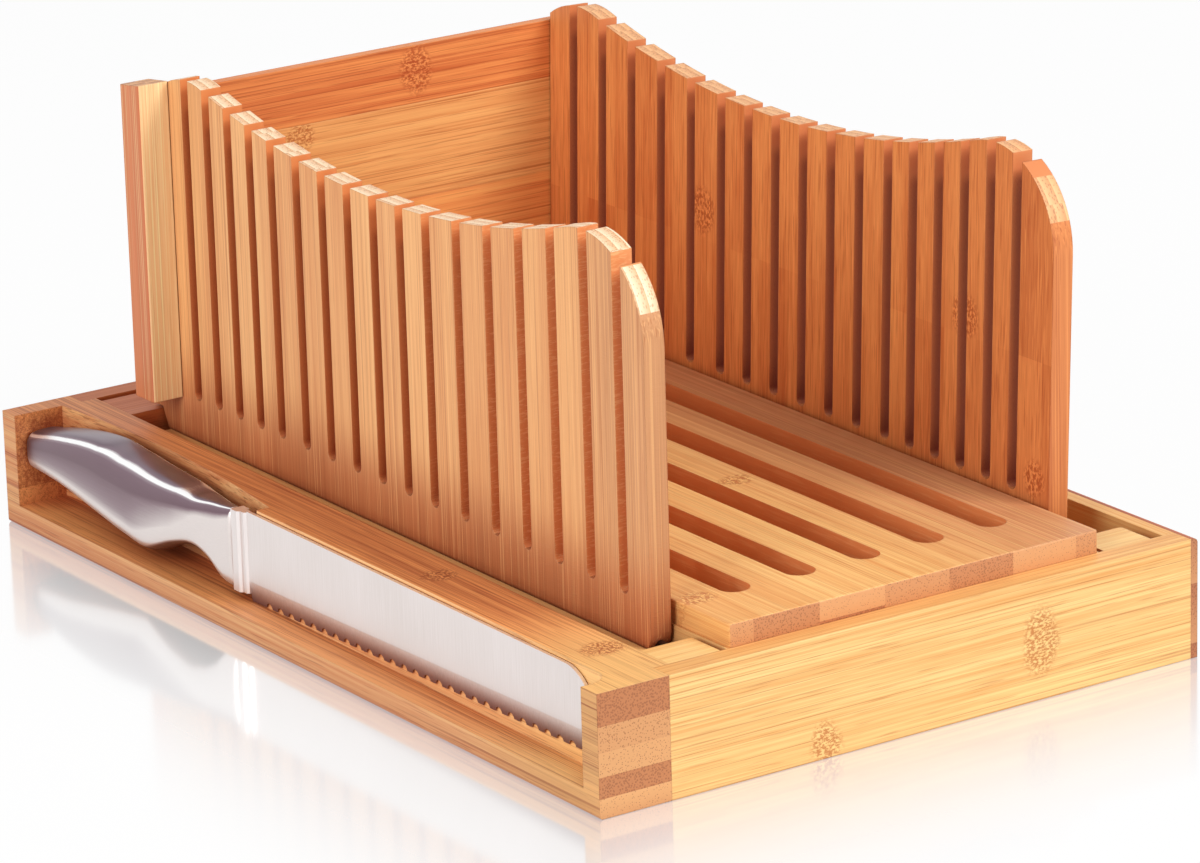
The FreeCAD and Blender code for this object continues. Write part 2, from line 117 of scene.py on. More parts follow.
# The right guide, seen on its inner face: the bamboo's tone, made darker and redder as partly
# painted shade.
inner_pale = (232, 152, 86)
inner_deep = (196, 102, 50)
inner_front = (208, 118, 66)
inner_crest_pale = (246, 190, 134)
inner_crest_deep = (218, 146, 96)
# The right guide's slot walls: a lit colour at the mouths, and painted shade deep inside.
inner_sawn_open = (222, 134, 80)
inner_sawn_deep = (128, 36, 12)
beam_pale = (246, 166, 100)
beam_deep = (170, 86, 48)
beam_flank_pale = (255, 204, 140)
beam_flank_deep = (220, 138, 84)
beam_front = (252, 196, 124)
# The rear rail and rear blocks, deep in the base: the bamboo's tone, darker and redder as partly
# painted shade.
rear_pale = (226, 136, 76)
rear_deep = (184, 94, 48)
stile_pale = (255, 226, 172)
stile_deep = (238, 178, 118)
stile_flank_pale = (222, 132, 90)
stile_flank_deep = (184, 90, 56)
strip_pale = (250, 190, 118)
strip_deep = (222, 142, 78)
toasted_pale = (240, 156, 88)
toasted_deep = (202, 96, 46)
low_pale = (255, 184, 108)
low_deep = (232, 130, 68)
red_pale = (200, 116, 74)
red_deep = (156, 74, 42)
facing_end_pale = (204, 144, 98)
facing_end_deep = (168, 98, 64)
end_light = (232, 176, 118)
end_brown = (178, 104, 64)
blade_bright = (238, 230, 228)
blade_dim = (226, 217, 213)
blade_shade = (142, 116, 120)
pin_bright = (96, 84, 78)
# Painted reflections on the handle: a light belly, dark flanks, a painted highlight line near the
# upper edge and a dark top.
handle_tones = [                     # from faces that look down to faces that look up
    (0.00, (126, 92, 82)),
    (0.06, (172, 146, 138)),
    (0.14, (224, 214, 210)),
    (0.415, (226, 217, 214)),
    (0.49, (148, 128, 134)),
    (0.53, (120, 97, 105)),
    (0.72, (130, 108, 117)),
    (0.785, (160, 144, 151)),
    (0.815, (255, 255, 255)),
    (0.89, (255, 255, 255)),
    (0.92, (138, 118, 128)),
    (0.96, (112, 94, 105)),
    (1.00, (128, 112, 122)),
]

# Shares of red, green and blue that are left where a colour darkens.
fade_tint = (0.86, 0.86, 0.86)
dash_tint = (0.82, 0.68, 0.56)
knot_tint = (0.84, 0.70, 0.58)
end_dot_tint = (0.80, 0.80, 0.80)
pin_dim_tint = (0.9, 0.9, 0.9)
# Painted shade: corners and gaps keep these shares of their colour, so they turn darker and
# redder.
oil_tint = (0.54, 0.28, 0.22, 1.0)   # of the linear colour
bright_gain = 1.07                   # a pale line's colour is the pale one times this,
bright_lift = 8                      # plus this

# ---- Bamboo's figure ------------------------------------------------------------------------
# Scales are per millimetre, along the fibres and across them. A pair of limits gives the values
# between which a mark comes in.
bands_scale = (0.006, 0.16)
streak_scale = (0.008, 0.85)
fine_scale = (0.030, 3.2)
strip_weight = 1.6                   # how far each of these changes the tone
bands_weight = 1.1
streak_weight = 1.9
fine_weight = 1.0
middle_tone = 0.42
chance_layer = 3.7                   # any fixed number: another one gives other strip tones
flank_facing = 0.7                   # how squarely a flank must face its axis

pale_line_marks = (0.006, 1.9, 0.58, 0.66)      # the scale along and across, and the limits
dark_line_marks = (0.005, 1.5, 0.60, 0.68)
dash_marks = (0.045, 2.1, 0.60, 0.70)
pale_line_share = 0.6
dark_line_share = 0.55
dash_share = 0.40
glue_width = 0.16                    # millimetres to each side of the joint between two strips
glue_share = 0.35

mottle_scale = (0.55, 1.0)
mottle_size = 1.25
mottle_limits = (0.40, 0.58)
wander_scale = 0.12
wander_along = 5.0                   # millimetres that a cane node's outline wanders
wander_side = 3.0
knot_limits = (0.5, 2.4)             # squared distance from the middle, in half sizes
knot_paleness = 0.4
knot_share = 0.80

bundle_scale = (0.02, 1.35)
strip_density_step = 0.35            # how the density of fibre bundles shifts between strips
bundle_least = 0.20                  # a bundle's size at density 0, and what it gains up to 1
bundle_gain = 0.26
bundle_limits = (0.7, 1.2)
end_deep_share = 0.85
end_dot_share = 0.62

# Slot walls get painted light near their mouths and painted shade deep inside.
wall_facing = 0.45                   # how squarely a slot's wall must face the slots' axis
tear_limits = (0.50, 0.66)
wall_reach = 14.0 * MM               # how far a wall's openness is looked for
openness_limits = (0.22, 0.62)
mouth_edge = 2.5                     # millimetres to each side of where a slot's mouth ends
# painted light on the front walls, and their torn fibres:
fresh_share = 0.85
torn_share = 0.65
crest_dip = (3.7, 144.6)             # place and height of the lowest point of a guide's crest
crest_rise = 15.5                    # how much higher it is this far from there
crest_span = 116.0

# Painted shade in corners and gaps: how far around a face is looked at, and where it comes in.
oil_reach = 16.0 * MM
oil_limits = (0.15, 0.75)
probe_samples = 8

edge_radius = 0.55 * MM              # of the soft light on edges
edge_samples = 4
grain_relief = 0.5
dash_relief = 0.3
wood_bump = 0.25
wood_bump_depth = 0.12 * MM
wood_roughness = 0.38
streak_roughness = 0.22
wood_specular = 0.4

# ---- Steel ----------------------------------------------------------------------------------
cloud_scale = 0.03
marks_weight = 0.7                   # how far brush marks and wide clouds change the tint
clouds_weight = 0.3
steel_limits = (0.3, 0.7)
marks_roughness = 0.10
steel_bump_depth = 0.05 * MM
pin_roughness = 0.25
pin_relief = 0.12
blade_roughness = 0.36
blade_relief = 0.10
blade_edge_front = (-162.0, 12.8)    # place and height of the cutting edge, in millimetres
blade_edge_rear = (36.0, 7.9)
blade_grind = (0.5, 9.5)             # millimetres above the edge over which the blade turns light
blade_marks = 1.5                    # millimetres that brush marks shift this
handle_roughness = 0.26
handle_relief = 0.10
handle_metallic = 0.8
# Painted reflections on the handle:
handle_turn = 1.4                    # how far flanks that face forwards turn light
handle_turn_most = 0.35
handle_marks = 0.05
handle_glint = (0.93, 1.05)


def linear(colour):
    """An sRGB colour of 0 to 255 as linear values."""
    values = []
    for part in colour:
        share = part / 255
        values.append(share / 12.92 if share <= 0.04045 else ((share + 0.055) / 1.055) ** 2.4)
    return (*values, 1.0)


def tinted(colour, tint):
    """The colour with each of its parts times its share in tint."""
    return tuple(part * share for part, share in zip(colour, tint))


def pick(values, axis):
    """Of three values, the one for the axis "x", "y" or "z"."""
    return values["xyz".index(axis)]


def stretch(axis, along, across):
    """A scale for each axis: along for the one that is named, and across for the others."""
    return tuple(along if one == axis else across for one in "xyz")


class Graph:
    """Short calls that add nodes to one material or world."""

    def __init__(self, owner):
        self.owner = owner
        owner.use_nodes = True
        self.tree = owner.node_tree
        self.tree.nodes.clear()

    def node(self, kind, inputs=None, **settings):
        node = self.tree.nodes.new(kind)
        for key, value in settings.items():
            setattr(node, key, value)
        for key, value in (inputs or {}).items():
            self.feed(node.inputs[key], value)
        return node

    def feed(self, socket, value):
        if isinstance(value, bpy.types.NodeSocket):
            self.tree.links.new(value, socket)
        else:
            socket.default_value = value

    def math(self, operation, a, b=0.0, clamp=False):
        settings = {"operation": operation, "use_clamp": clamp}
        return self.node("ShaderNodeMath", {0: a, 1: b}, **settings).outputs[0]

    def plus(self, a, b, clamp=False):
        return self.math("ADD", a, b, clamp)

    def minus(self, a, b):
        return self.math("SUBTRACT", a, b)

    def times(self, a, b):
        return self.math("MULTIPLY", a, b)

    def divided(self, a, b):
        return self.math("DIVIDE", a, b)

    def larger(self, a, b):
        return self.math("MAXIMUM", a, b)

    def above(self, a, b):
        """1 where a is greater than b, and 0 elsewhere."""
        return self.math("GREATER_THAN", a, b)

    def below(self, a, b):
        """1 where a is less than b, and 0 elsewhere."""
        return self.math("LESS_THAN", a, b)

    def absolute(self, value):
        return self.math("ABSOLUTE", value)

    def squared(self, value):
        return self.math("POWER", value, 2.0)

    def opposite(self, share):
        """What is missing from 1."""
        return self.minus(1.0, share)

    def scaled(self, vector, scale):
        inputs = {0: vector, 1: scale}
        return self.node("ShaderNodeVectorMath", inputs, operation="MULTIPLY").outputs[0]

    def split(self, vector):
        return self.node("ShaderNodeSeparateXYZ", {0: vector}).outputs

    def mixed(self, factor, a, b, blend="MIX"):
        node = self.node("ShaderNodeMix", data_type="RGBA", blend_type=blend)
        self.feed(node.inputs[0], factor)
        self.feed(node.inputs[6], a)
        self.feed(node.inputs[7], b)
        return node.outputs[2]

    def noise(self, vector, scale=1.0, detail=2.0, roughness=0.5):
        inputs = {"Vector": vector, "Scale": scale, "Detail": detail, "Roughness": roughness}
        return self.node("ShaderNodeTexNoise", inputs).outputs[0]

    def ramp(self, value, start, end):
        """0 at start, 1 at end and a smooth step between them, whichever is greater."""
        inputs = {"Value": value, "From Min": start, "From Max": end}
        settings = {"interpolation_type": "SMOOTHSTEP"}
        return self.node("ShaderNodeMapRange", inputs, **settings).outputs[0]

    def openness(self, reach):
        """1 on an open face, and less where something is within reach of it."""
        inputs = {"Distance": reach}
        node = self.node("ShaderNodeAmbientOcclusion", inputs, samples=probe_samples)
        return node.outputs["AO"]

    def coordinates(self):
        """The place in the CAD's frame in millimetres, and the way that the surface faces."""
        outputs = self.node("ShaderNodeTexCoord").outputs
        return self.scaled(outputs["Object"], (1 / MM, 1 / MM, 1 / MM)), outputs["Normal"]

    def rays(self):
        """1 for rays from the camera, and 1 for those and for rays off a glossy surface."""
        path = self.node("ShaderNodeLightPath").outputs
        return path["Is Camera Ray"], self.larger(path["Is Camera Ray"], path["Is Glossy Ray"])

    def finish(self, shader, output="ShaderNodeOutputMaterial"):
        self.tree.links.new(shader, self.node(output).inputs[0])
        return self.owner


class Wood:
    """How one set of pieces was sawn and glued. Lengths are in millimetres."""

    def __init__(self, grain, pale, deep, strip, **settings):
        self.grain = grain              # the axis that the fibres run along
        self.pale = pale
        self.deep = deep
        self.strip = strip              # width of a strip across the grain
        self.across = None              # the axis across the strips, if not the first one left
        self.strip_start = 0.0
        self.ply = 60.0                 # thickness of a layer
        self.ply_start = 0.0
        self.tone = 0.35                # how far the strips differ from each other
        self.streaks = 0.6
        self.lines = 0.5                # thin dark fibre lines
        self.fibres = 0.5               # thin pale fibre lines
        self.knots = ()                 # cane nodes: place along and across, and half sizes
        self.flank = None               # an axis whose faces show another layer, and its colours
        self.fades = ()                 # each: an axis, its start and end, a colour and a share
        # Painted shade: how much darker and redder corners and gaps turn.
        self.shaded = 0.25              # how much darker and redder corners and gaps are
        self.sawn = None                # two corners of the box that holds sawn slots
        self.sawn_axis = "y"            # the slots' walls face along this axis
        # Painted light near a slot's mouth, down to a depth below a guide's crest, and painted
        # shade deep inside.
        self.sawn_open = sawn_open      # colours of the walls near a slot's mouth and deep inside
        self.sawn_deep = sawn_deep
        self.mouth = 0.0                # depth below a guide's crest to which the walls are light
        self.tear_scale = (1, 1, 1)     # of the torn fibres on the walls
        # Painted light: along y, the slot walls turn lighter, and torn, between these.
        self.fresh_from = 0.0           # along y, the walls turn pale and torn between these
        self.fresh_to = 1.0
        self.end_bands = ()             # end grain: where each layer starts, and how dark it is
        self.end_beyond = 0.0           # end grain shows only this far from the middle
        self.end_facing = 0.8           # how squarely a face must cross the grain to show it
        self.end_pale = end_light
        self.end_deep = end_brown
        for key, value in settings.items():
            setattr(self, key, value)


class Bamboo(Graph):
    """Bamboo lamellae glued side by side, with fibres, cane nodes, end grain and sawn slots."""

    def __init__(self, name, wood):
        super().__init__(bpy.data.materials.new(name))
        self.wood = wood
        self.place, facing = self.coordinates()
        self.parts = self.split(self.place)
        self.normal = self.split(facing)
        others = [axis for axis in "xyz" if axis != wood.grain]
        across = wood.across or others[0]
        through = [axis for axis in others if axis != across][0]
        self.along = pick(self.parts, wood.grain)
        self.side = pick(self.parts, across)
        self.depth = pick(self.parts, through)
        self.strip_place = self.divided(self.minus(self.side, wood.strip_start), wood.strip)
        self.ply_place = self.divided(self.minus(self.depth, wood.ply_start), wood.ply)
        self.strip_number = self.math("FLOOR", self.strip_place)
        bright = tuple(min(255, part * bright_gain + bright_lift) for part in wood.pale)
        self.bright = linear(bright)
        self.dash_colour = linear(tinted(wood.deep, dash_tint))

    def stretched(self, along, across):
        """The place, scaled so that a noise draws out along the grain."""
        return self.scaled(self.place, stretch(self.wood.grain, along, across))

    def marks(self, along, across, start, end):
        """Thin marks along the grain."""
        return self.ramp(self.noise(self.stretched(along, across), detail=1.0), start, end)

    def faces(self, axis, least):
        """1 where the surface faces along an axis, either way, more squarely than least."""
        return self.above(self.absolute(pick(self.normal, axis)), least)

    def tone(self, bands, streak, fine):
        """How deep the tone is, from 0 to 1. Each strip of each layer has one of its own."""
        wood = self.wood
        ply_number = self.math("FLOOR", self.ply_place)
        inputs = {0: self.strip_number, 1: ply_number, 2: chance_layer}
        inputs = {"Vector": self.node("ShaderNodeCombineXYZ", inputs).outputs[0]}
        chance = self.node("ShaderNodeTexWhiteNoise", inputs, noise_dimensions="3D").outputs[0]
        tone = self.times(self.minus(chance, 0.5), wood.tone * strip_weight)
        weights = (bands_weight, streak_weight * wood.streaks, fine_weight * wood.streaks)
        for value, weight in zip((bands, streak, fine), weights):
            tone = self.plus(tone, self.times(self.minus(value, 0.5), weight))
        return self.plus(tone, middle_tone, clamp=True)

    def plain_colour(self, tone):
        """The wood's colour without its marks."""
        wood = self.wood
        colour = self.mixed(tone, linear(wood.pale), linear(wood.deep))
        if wood.flank:
            axis, pale, deep = wood.flank
            other = self.mixed(tone, linear(pale), linear(deep))
            colour = self.mixed(self.faces(axis, flank_facing), colour, other)
        for axis, start, end, pale, share in wood.fades:
            other = self.mixed(tone, linear(pale), linear(tinted(pale, fade_tint)))
            far = self.times(self.ramp(pick(self.parts, axis), start, end), share)
            colour = self.mixed(far, colour, other)
        return colour

    def with_lines(self, colour, dashes):
        """The colour with fibre lines, dashes and the glue lines between strips."""
        wood = self.wood
        pale_lines = self.marks(*pale_line_marks)
        dark_lines = self.marks(*dark_line_marks)
        edge_distance = self.math("PINGPONG", self.strip_place, 0.5)
        glue = self.opposite(self.ramp(edge_distance, 0.0, glue_width / wood.strip))
        for mark, share, mark_colour in (
            (pale_lines, pale_line_share * wood.fibres, self.bright),
            (dark_lines, dark_line_share * wood.lines, self.dash_colour),
            (dashes, dash_share * wood.streaks, self.dash_colour),
            (glue, glue_share, self.dash_colour),
        ):
            colour = self.mixed(self.times(mark, share), colour, mark_colour)
        return colour

    def with_knots(self, colour):
        """The colour with the cane's nodes, small patches of crumpled fibres, and their relief."""
        wood = self.wood
        if not wood.knots:
            return colour, 0.0
        mottle = self.noise(self.stretched(*mottle_scale), mottle_size, roughness=0.6)
        wander = self.minus(self.noise(self.place, wander_scale), 0.5)
        bent = self.plus(self.along, self.times(wander, wander_along))
        shifted = self.plus(self.side, self.times(wander, wander_side))
        knotted = 0.0
        for along, side, half_length, half_width in wood.knots:
            far_along = self.divided(self.minus(bent, along), half_length)
            far_side = self.divided(self.minus(shifted, side), half_width)
            squares = self.plus(self.squared(far_along), self.squared(far_side))
            knotted = self.larger(knotted, self.opposite(self.ramp(squares, *knot_limits)))
        pale = self.mixed(knot_paleness, colour, self.bright)
        dark = linear(tinted(wood.deep, knot_tint))
        patch = self.mixed(self.ramp(mottle, *mottle_limits), pale, dark)
        colour = self.mixed(self.times(knotted, knot_share), colour, patch)
        return colour, self.times(knotted, mottle)

    def with_ends(self, colour):
        """The colour with end grain: cut fibre bundles, denser towards one side of a layer."""
        wood = self.wood
        beyond = self.above(self.absolute(self.along), wood.end_beyond)
        is_end = self.times(self.faces(wood.grain, wood.end_facing), beyond)
        density = self.plus(self.ply_place, self.times(self.strip_number, strip_density_step))
        density = self.math("FRACT", density)
        for start, dark in wood.end_bands:
            higher = self.above(self.depth, start)
            kept = self.times(density, self.opposite(higher))
            density = self.plus(kept, self.times(higher, dark))
        inputs = {"Vector": self.stretched(*bundle_scale), "Scale": 1.0}
        distance = self.node("ShaderNodeTexVoronoi", inputs).outputs["Distance"]
        radius = self.plus(bundle_least, self.times(density, bundle_gain))
        dot = self.opposite(self.ramp(self.divided(distance, radius), *bundle_limits))
        deep_share = self.times(density, end_deep_share)
        base = self.mixed(deep_share, linear(wood.end_pale), linear(wood.end_deep))
        dot_colour = linear(tinted(wood.end_deep, end_dot_tint))
        ends = self.mixed(self.times(dot, end_dot_share), base, dot_colour)
        return self.mixed(is_end, colour, ends)

    def with_slots(self, colour):
        """The colour with the slots' sawn walls, with painted light and painted shade, and the
        relief of the torn fibres on them.
        """
        wood = self.wood
        if not wood.sawn:
            return colour, 0.0
        wall = self.faces(wood.sawn_axis, wall_facing)
        for value, low, high in zip(self.parts, *wood.sawn):
            wall = self.times(wall, self.above(value, low))
            wall = self.times(wall, self.below(value, high))
        tears = self.noise(self.scaled(self.place, wood.tear_scale), roughness=0.6)
        # Painted light on the walls towards the front, which is also where their fibres are torn.
        fresh = self.ramp(self.parts[1], wood.fresh_from, wood.fresh_to)
        torn = self.times(self.ramp(tears, *tear_limits), fresh)
        # Painted shade deep in a slot, where its walls are closed in.
        openness = self.openness(wall_reach)
        deepness = self.opposite(self.ramp(openness, *openness_limits))
        # Painted light: the walls stay lit down to the mouth's depth below a guide's crest.
        if wood.mouth:
            dip_place, dip_height = crest_dip
            from_dip = self.divided(self.minus(self.parts[1], dip_place), crest_span)
            rise = self.times(self.squared(self.absolute(from_dip)), crest_rise)
            from_crest = self.minus(self.plus(rise, dip_height), self.parts[2])
            inside = self.ramp(from_crest, wood.mouth - mouth_edge, wood.mouth + mouth_edge)
            deepness = self.times(deepness, inside)
        walls = self.mixed(deepness, linear(wood.sawn_open), linear(wood.sawn_deep))
        walls = self.mixed(self.times(fresh, fresh_share), walls, linear(sawn_fresh))
        walls = self.mixed(self.times(torn, torn_share), walls, linear(sawn_pale))
        return self.mixed(wall, colour, walls), torn

    def with_oil(self, colour):
        """The colour with painted shade in corners and gaps, darker and redder there."""
        closed = self.opposite(self.ramp(self.openness(oil_reach), *oil_limits))
        return self.mixed(self.times(closed, self.wood.shaded), colour, oil_tint, "MULTIPLY")


def bamboo(name, wood):
    """The whole material of one set of bamboo pieces."""
    g = Bamboo(name, wood)
    bands = g.noise(g.stretched(*bands_scale))
    streak = g.noise(g.stretched(*streak_scale), detail=3.0, roughness=0.6)
    fine = g.noise(g.stretched(*fine_scale), roughness=0.7)
    dashes = g.marks(*dash_marks)
    colour = g.plain_colour(g.tone(bands, streak, fine))
    colour = g.with_lines(colour, dashes)
    colour, crumpled = g.with_knots(colour)
    colour = g.with_ends(colour)
    colour, torn = g.with_slots(colour)
    # painted shade in corners and gaps
    colour = g.with_oil(colour)
    relief = g.plus(g.times(fine, grain_relief), g.times(streak, grain_relief))
    relief = g.minus(relief, g.times(dashes, dash_relief))
    relief = g.plus(g.plus(relief, crumpled), torn)
    edges = g.node("ShaderNodeBevel", {"Radius": edge_radius}, samples=edge_samples)
    bump = g.node("ShaderNodeBump", {
        "Strength": wood_bump,
        "Distance": wood_bump_depth,
        "Height": relief,
        "Normal": edges.outputs[0],
    })
    surface = g.node("ShaderNodeBsdfPrincipled", {
        "Base Color": colour,
        "Roughness": g.plus(wood_roughness, g.times(streak, streak_roughness)),
        "Normal": bump.outputs[0],
    })
    surface.inputs["Specular IOR Level"].default_value = wood_specular
    return g.finish(surface.outputs[0])


class Steel(Graph):
    """Stainless steel with brush marks along one axis."""

    def __init__(self, name, brush_axis, along, across):
        super().__init__(bpy.data.materials.new(name))
        self.place, self.facing = self.coordinates()
        brushed = self.scaled(self.place, stretch(brush_axis, along, across))
        self.marks = self.noise(brushed, detail=3.0, roughness=0.7)

    def clouded(self, dim, bright):
        """A tint that changes with the brush marks and with wide soft clouds."""
        clouds = self.noise(self.place, cloud_scale, detail=1.0)
        mix = self.plus(self.times(self.marks, marks_weight), self.times(clouds, clouds_weight))
        return self.mixed(self.ramp(mix, *steel_limits), linear(dim), linear(bright))

    def surfaced(self, tint, roughness, relief, metallic=1.0):
        """The material, with brush marks that change its gloss and stand out a little."""
        bump = self.node("ShaderNodeBump", {
            "Strength": relief,
            "Distance": steel_bump_depth,
            "Height": self.marks,
        })
        surface = self.node("ShaderNodeBsdfPrincipled", {
            "Base Color": tint,
            "Metallic": metallic,
            "Roughness": self.plus(roughness, self.times(self.marks, marks_roughness)),
            "Normal": bump.outputs[0],
        })
        return self.finish(surface.outputs[0])


def pin_steel():
    """The hinge pins' dark steel."""
    g = Steel("pin_steel", brush_axis="y", along=0.05, across=4.0)
    tint = g.clouded(tinted(pin_bright, pin_dim_tint), pin_bright)
    return g.surfaced(tint, pin_roughness, pin_relief)


def handle_steel():
    """Brushed steel with painted reflections that follow the form: dark flanks between light
    edges, and a painted highlight line along the upper edge.
    """
    g = Steel("handle_steel", brush_axis="y", along=0.04, across=3.0)
    normal = g.split(g.facing)
    # The neck narrows forwards, and the painted reflection on its flanks turns light as they do.
    forward = g.larger(g.math("MINIMUM", normal[1], 0.0), -handle_turn_most)
    turn = g.plus(normal[2], g.times(forward, handle_turn))
    turn = g.plus(turn, g.times(g.minus(g.marks, 0.5), handle_marks))
    tones = g.node("ShaderNodeValToRGB", {0: g.plus(g.times(turn, 0.5), 0.5, clamp=True)})
    ramp = tones.color_ramp
    while len(ramp.elements) < len(handle_tones):
        ramp.elements.new(0.5)
    for element, (position, tone) in zip(ramp.elements, handle_tones):
        element.position = position
        element.color = linear(tone)
    dim, bright = handle_glint
    glint = g.node("ShaderNodeMapRange", {"Value": g.marks, "To Min": dim, "To Max": bright})
    tint = g.node("ShaderNodeVectorMath", {0: tones.outputs[0]}, operation="SCALE")
    g.feed(tint.inputs["Scale"], glint.outputs[0])
    return g.surfaced(tint.outputs[0], handle_roughness, handle_relief, handle_metallic)


def blade_steel():
    """The blade's flat ground face, darker where it thins towards the serrated edge."""
    g = Steel("blade_steel", brush_axis="z", along=0.05, across=4.0)
    parts = g.split(g.place)
    front, front_height = blade_edge_front
    rear, rear_height = blade_edge_rear
    slope = (front_height - rear_height) / (front - rear)
    rise = g.times(g.minus(parts[1], rear), slope)
    above_edge = g.minus(g.minus(parts[2], rear_height), rise)
    light = g.ramp(g.plus(above_edge, g.times(g.marks, blade_marks)), *blade_grind)
    ground = g.below(parts[1], rear)
    light = g.plus(g.times(light, ground), g.opposite(ground))
    tint = g.mixed(light, linear(blade_shade), g.clouded(blade_dim, blade_bright))
    return g.surfaced(tint, blade_roughness, blade_relief)


# ---- Stage: camera, light and floor ---------------------------------------------------------
def add_to_scene(name, data):
    """A new object with this data."""
    thing = bpy.data.objects.new(name, data)
    bpy.context.scene.collection.objects.link(thing)
    return thing


def make_camera():
    data = bpy.data.cameras.new("camera")
    data.sensor_width = camera_sensor
    data.lens = camera_lens
    data.clip_end = camera_far
    camera = add_to_scene("camera", data)
    up = camera_right.cross(camera_forward)
    axes = Matrix((camera_right, up, -camera_forward)).transposed()
    camera.matrix_world = Matrix.Translation(camera_place) @ axes.to_4x4()
    bpy.context.scene.camera = camera


def make_lamp(name, place, power, size):
    data = bpy.data.lights.new(name, "AREA")
    data.energy = power
    data.size = size
    lamp = add_to_scene(name, data)
    lamp.location = place
    lamp.rotation_euler = (aim_point - place).to_track_quat("-Z", "Y").to_euler()


def make_world():
    """White to the camera and in reflections, and a softer light on everything else."""
    g = Graph(bpy.data.worlds.new("studio"))
    _, seen = g.rays()
    inputs = {"Value": seen, "To Min": world_strength, "To Max": 1.0}
    strength = g.node("ShaderNodeMapRange", inputs).outputs[0]
    light = g.node("ShaderNodeBackground", {"Color": white, "Strength": strength})
    bpy.context.scene.world = g.finish(light.outputs[0], "ShaderNodeOutputWorld")


def floor_material():
    """White and faintly glossy: it keeps the object's shadow and a mirror image that fades."""
    g = Graph(bpy.data.materials.new("floor_white"))
    from_camera, seen = g.rays()
    plain = g.node("ShaderNodeBsdfDiffuse", {"Color": floor_grey}).outputs[0]
    glow = g.node("ShaderNodeEmission", {"Color": white, "Strength": 1.0}).outputs[0]
    base = g.node("ShaderNodeMixShader", {0: g.times(seen, floor_glow), 1: plain, 2: glow})
    mirror = g.node("ShaderNodeBsdfGlossy", {"Color": white, "Roughness": mirror_roughness})
    # Distance out from the CAD's box.
    place = g.split(g.node("ShaderNodeTexCoord").outputs["Object"])
    low, high = cad_box
    out_x = g.larger(g.minus(low[0], place[0]), g.minus(place[0], high[0]))
    out_y = g.larger(g.minus(low[1], place[1]), g.minus(place[1], high[1]))
    near = g.opposite(g.ramp(g.larger(out_x, out_y), mirror_full, mirror_reach))
    shine = g.times(from_camera, g.times(g.squared(near), mirror_share))
    inputs = {0: shine, 1: base.outputs[0], 2: mirror.outputs[0]}
    return g.finish(g.node("ShaderNodeMixShader", inputs).outputs[0])


def make_floor():
    half = floor_half
    mesh = bpy.data.meshes.new("floor")
    corners = [(-half, -half, 0), (half, -half, 0), (half, half, 0), (-half, half, 0)]
    mesh.from_pydata(corners, [], [(0, 1, 2, 3)])
    floor = add_to_scene("floor", mesh)
    floor.location.z = -floor_drop
    floor.data.materials.append(floor_material())


# ---- Knife handle ---------------------------------------------------------------------------
# Share of the handle's length, bottom height, top height and half width, in millimetres.
handle_sections = [
    (0.000, 10.8, 38.2, 2.7),
    (0.050, 12.0, 38.0, 4.4),
    (0.100, 17.4, 38.0, 5.7),
    (0.160, 20.3, 37.9, 7.1),
    (0.240, 18.0, 38.9, 8.2),
    (0.380, 11.6, 39.8, 9.2),
    (0.500, 12.7, 40.9, 9.4),
    (0.640, 15.5, 41.7, 9.3),
    (0.820, 19.2, 38.7, 8.8),
    (0.950, 20.3, 35.1, 7.9),
    (0.990, 20.4, 34.1, 7.5),
    (1.000, 21.0, 33.4, 6.8),
]
handle_stations = 72
handle_ring = 48
handle_squareness = 3.3     # a section at 2 would be an ellipse


def smooth_between(table, share):
    """A row of values at a share of the length, on a smooth curve through the table's rows."""
    index = 0
    while index < len(table) - 2 and table[index + 1][0] < share:
        index += 1
    a = table[index]
    b = table[index + 1]
    before = table[max(index - 1, 0)]
    after = table[min(index + 2, len(table) - 1)]
    step = b[0] - a[0]
    t = (share - a[0]) / step
    row = []
    for column in range(1, len(a)):
        slope_a = (b[column] - before[column]) / (b[0] - before[0])
        slope_b = (after[column] - a[column]) / (after[0] - a[0])
        h = 3 * t * t - 2 * t ** 3
        value = a[column] * (1 - h) + b[column] * h
        value += step * (slope_a * (t ** 3 - 2 * t * t + t) + slope_b * (t ** 3 - t * t))
        row.append(value)
    return row


def squared_off(value):
    """A sine or cosine, bent so that it draws a rectangle with round corners."""
    return math.copysign(abs(value) ** (2 / handle_squareness), value)


def make_handle(material):
    """The hollow steel handle, as one smooth skin with flat ends."""
    low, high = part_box("knife_handle")
    middle = (low.x + high.x) / 2
    length = high.y - low.y
    form = bmesh.new()
    rings = []
    for station in range(handle_stations + 1):
        share = station / handle_stations
        bottom, top, half = smooth_between(handle_sections, share)
        ring = []
        for step in range(handle_ring):
            angle = 2 * math.pi * step / handle_ring
            x = middle + half * MM * squared_off(math.cos(angle))
            z = (top + bottom) / 2 + (top - bottom) / 2 * squared_off(math.sin(angle))
            ring.append(form.verts.new((x, low.y + share * length, z * MM)))
        rings.append(ring)
    for one, two in zip(rings, rings[1:]):
        for step in range(handle_ring):
            after = (step + 1) % handle_ring
            form.faces.new((one[step], two[step], two[after], one[after]))
    form.faces.new(rings[0])
    form.faces.new(tuple(reversed(rings[-1])))
    bmesh.ops.recalc_face_normals(form, faces=form.faces)
    mesh = bpy.data.meshes.new("handle_skin")
    form.to_mesh(mesh)
    form.free()
    for face in mesh.polygons:
        face.use_smooth = len(face.vertices) == 4
    handle = add_to_scene("handle_skin", mesh)
    handle.data.materials.append(material)
    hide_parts("knife_handle")
    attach(handle, "knife")


